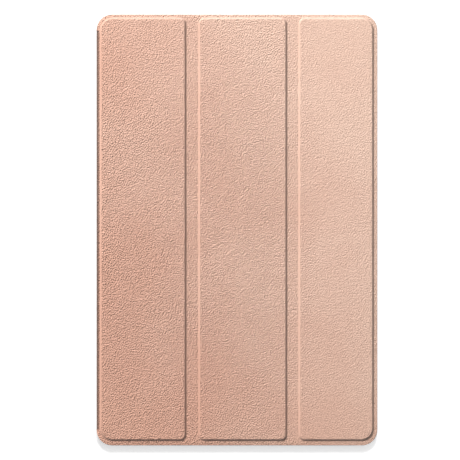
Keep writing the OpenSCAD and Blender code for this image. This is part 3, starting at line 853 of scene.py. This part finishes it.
def swept(name, outer, inner, half, material, uv_of, rows=60):
    """A closed strip along Y whose section runs between two matching lines of (x, z) points."""
    section = list(outer) + list(reversed(inner))
    size = len(section)
    ys = np.linspace(-half, half, rows + 1)
    points = [(x, float(y), z) for y in ys for x, z in section]
    faces = []
    for row in range(rows):
        for k in range(size):
            a, b = row * size + k, row * size + (k + 1) % size
            faces.append((a, a + size, b + size, b))
    steps = len(outer) - 1
    for row, turned in ((0, False), (rows, True)):
        for k in range(steps):
            cap = [row * size + c for c in (k, k + 1, size - 2 - k, size - 1 - k)]
            faces.append(tuple(reversed(cap)) if turned else tuple(cap))
    return make_object(name, points, faces, material, uv_of)


def arc(centre, radius, start, end, steps=16):
    angles = np.radians(np.linspace(start, end, steps + 1))
    return [(centre[0] + radius * math.cos(a), centre[1] + radius * math.sin(a)) for a in angles]


SPINE_TOP = BORDER_TOP - HINGE_R
SPINE_FOOT = HINGE_R


def spine_uv(p):
    """Unrolls the leather round the spine, so that its grain runs on from the front."""
    x, y, z = p
    if z > SPINE_TOP:
        along = HINGE_R * math.atan2(z - SPINE_TOP, HINGE_X - x)
        return (HINGE_X - BEND + along, y)
    if z > SPINE_FOOT:
        return (HINGE_X - BEND - (SPINE_TOP - z), y)
    along = HINGE_R * math.atan2(SPINE_FOOT - z, HINGE_X - x)
    return (HINGE_X - BEND - (SPINE_TOP - SPINE_FOOT) - along, y)


def spine_bend(name, centre, angle):
    """The leather rolled a quarter turn on from this angle round one of the spine's two hinges."""
    outer = arc(centre, HINGE_R, angle, angle + 90)
    inner = arc(centre, HINGE_R - SKIN, angle, angle + 90)
    piece = swept(name, outer, inner, SPINE_HALF, LEATHER, spine_uv)
    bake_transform(piece)


def spine_leather():
    """The upright face of the spine, and the two bends that join it to panel 1 and to the back."""
    heights = np.linspace(SPINE_TOP, SPINE_FOOT, 9)
    face = swept(
        "leather_spine", [(LEFT, float(z)) for z in heights], [(LEFT + SKIN, float(z)) for z in heights],
        SPINE_HALF, LEATHER, spine_uv,
    )
    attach(face, "spine")
    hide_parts("spine_skin")
    spine_bend(
        "leather_spine_upper_bend", (HINGE_X, SPINE_TOP), 90,
    )
    spine_bend(
        "leather_spine_lower_bend", (HINGE_X, SPINE_FOOT), 180,
    )


def spine_lining():
    lo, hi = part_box("spine_lining")
    heights = np.linspace(hi.z, lo.z, 9)
    piece = swept(
        "lining_spine", [(lo.x, float(z)) for z in heights], [(hi.x, float(z)) for z in heights],
        hi.y, LINING, lambda p: (p[0] + p[2], p[1]),
    )
    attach(piece, "spine")
    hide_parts("spine_lining")


BACK_UV_SHIFT = 0.4


def back_leather():
    """The leatherette on the back, rounded at its rim and at the camera's cut-out. Its UV map is shifted,
    so that it is clear of the front's and the spine's."""
    rect = (shell_lo.x, shell_lo.y, shell_hi.x, shell_hi.y)
    radii = (SHELL_CORNER_R,) * 4
    centre = np.array(LENS_AT)

    def hole_depth(points):
        return np.linalg.norm(points - centre, axis=1) - CAMERA_HOLE_R

    def depth(points):
        rim = rect_distance(points, rect, radii)
        on_hinge = (np.abs(points[:, 1]) < SPINE_HALF) & (points[:, 0] < HINGE_X + EDGE_R * 1.01)
        return np.minimum(np.where(on_hinge, EDGE_R, rim), hole_depth(points))

    def circle(inset):
        radius = CAMERA_HOLE_R + inset
        angles = np.linspace(0, 2 * math.pi, 65)[:-1]
        return [(centre[0] + radius * math.cos(a), centre[1] + radius * math.sin(a)) for a in angles]

    insets = [0.0] + EDGE_RINGS
    loops = [rect_loop(rect, radii, inset, STEP) for inset in insets] + [circle(inset) for inset in insets]
    grid = [p for p in grid_points(rect, STEP, STEP) if math.dist(p, centre) > CAMERA_HOLE_R + STEP]
    ends = [[(HINGE_X, y), (HINGE_X + EDGE_R, y)] for y in (-SPINE_HALF, SPINE_HALF)]
    piece = formed_sheet(
        "leather_back", loops, ends,
        lambda p: (rect_distance(p, rect, radii) > 0) & (hole_depth(p) > 0),
        lambda p: np.full(len(p), BACK_TOP), lambda p: edge_drop(depth(p)),
        LEATHER, grid, uv=lambda p: (-p[0] - BACK_UV_SHIFT, p[1]),
    )
    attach(piece, "tablet")
    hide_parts("back_skin")


def declare_sheets():
    """Brings the placements of all pieces in the scene up to date."""
    bpy.context.view_layer.update()


# ---- Floor and light ----

FLOOR_HALF = 3.0
FLOOR_Z = -0.02 * MM
FLOOR_GLOW = 0.53


def make_floor():
    """A white table that glows a little, so that shadows on it stay light."""
    corners = [(-1, -1), (1, -1), (1, 1), (-1, 1)]
    mesh = bpy.data.meshes.new("floor")
    mesh.from_pydata([(x * FLOOR_HALF, y * FLOOR_HALF, FLOOR_Z) for x, y in corners], [], [(0, 1, 2, 3)])
    n = Nodes("floor_white")
    mottle = n.noise(n.place("Object"), 2, detail=2)
    n.colour(n.mix(mottle, (0.92, 0.92, 0.92), (0.94, 0.94, 0.94)))
    n.set(Roughness=0.9, Specular_IOR_Level=0.1)
    n.set(Emission_Color=(1, 1, 1, 1), Emission_Strength=FLOOR_GLOW)
    mesh.materials.append(n.material)
    floor = bpy.data.objects.new("floor", mesh)
    bpy.context.scene.collection.objects.link(floor)
    return floor


def softbox(name, at, target, size, radiance, floor=None, floor_only=False, gloss=True):
    """A rectangular light of one even radiance. Given the floor, it leaves the floor unlit, or lights
    it alone. Without gloss it gives no highlights, only shading."""
    data = bpy.data.lights.new(name, "AREA")
    data.shape = "RECTANGLE"
    data.size, data.size_y = size
    data.energy = radiance * math.pi * size[0] * size[1]
    lamp = bpy.data.objects.new(name, data)
    lamp.location = at
    lamp.rotation_euler = (Vector(target) - Vector(at)).to_track_quat("-Z", "Y").to_euler()
    lamp.visible_glossy = gloss
    bpy.context.scene.collection.objects.link(lamp)
    if floor:
        lit = bpy.data.collections.new(name + "_floor")
        lit.objects.link(floor)
        lit.collection_objects[0].light_linking.link_state = "INCLUDE" if floor_only else "EXCLUDE"
        lamp.light_linking.receiver_collection = lit


def make_room():
    """Dim white overhead, brightening to near full white at the height of the floor's far edge."""
    world = bpy.data.worlds.new("soft_room")
    world.use_nodes = True
    tree = world.node_tree
    direction = tree.nodes.new("ShaderNodeTexCoord")
    split = tree.nodes.new("ShaderNodeSeparateXYZ")
    band = tree.nodes.new("ShaderNodeMapRange")
    band.interpolation_type = "SMOOTHSTEP"
    for name, number in (("From Min", 0.10), ("From Max", 0.28), ("To Min", 0.95), ("To Max", 0.15)):
        band.inputs[name].default_value = number
    background = tree.nodes["Background"]
    background.inputs["Color"].default_value = (1, 1, 1, 1)
    tree.links.new(direction.outputs["Generated"], split.inputs["Vector"])
    tree.links.new(split.outputs["Z"], band.inputs["Value"])
    tree.links.new(band.outputs["Result"], background.inputs["Strength"])
    return world


def make_light(floor):
    """The key rakes the leather from the top left. The overhead lamp and two beyond the top edge fill
    in, and one more lights the floor alone, for the short shadow below the bottom edge."""
    bpy.context.scene.world = make_room()
    bpy.context.scene.view_settings.view_transform = "Standard"
    centre = (0, 0, PANEL_TOP)
    softbox("key_top_left", (-1.563, 1.563, 1.08), centre, (0.45, 0.45), 335, floor, gloss=False)
    softbox("overhead", (0.10, 0.04, 0.80), (0.03, 0.0, 0), (0.60, 0.38), 2.0, gloss=False)
    softbox("high_top", (0.0, 1.0, 0.85), centre, (0.90, 0.40), 7.5, floor)
    softbox("low_top", (0.0, 1.2, 0.34), centre, (1.3, 0.40), 5, floor, gloss=False)
    softbox("floor_top", (0.0, 1.0, 2.2), (0, 0, 0), (0.35, 0.35), 66, floor, floor_only=True)


make_camera()
make_light(make_floor())
dress_cad_nodes()
for panel in range(3):
    panel_skin(panel)
    panel_lining(panel)
for fold in range(2):
    fold_strip(fold)
spine_leather()
spine_lining()
back_leather()
declare_sheets()
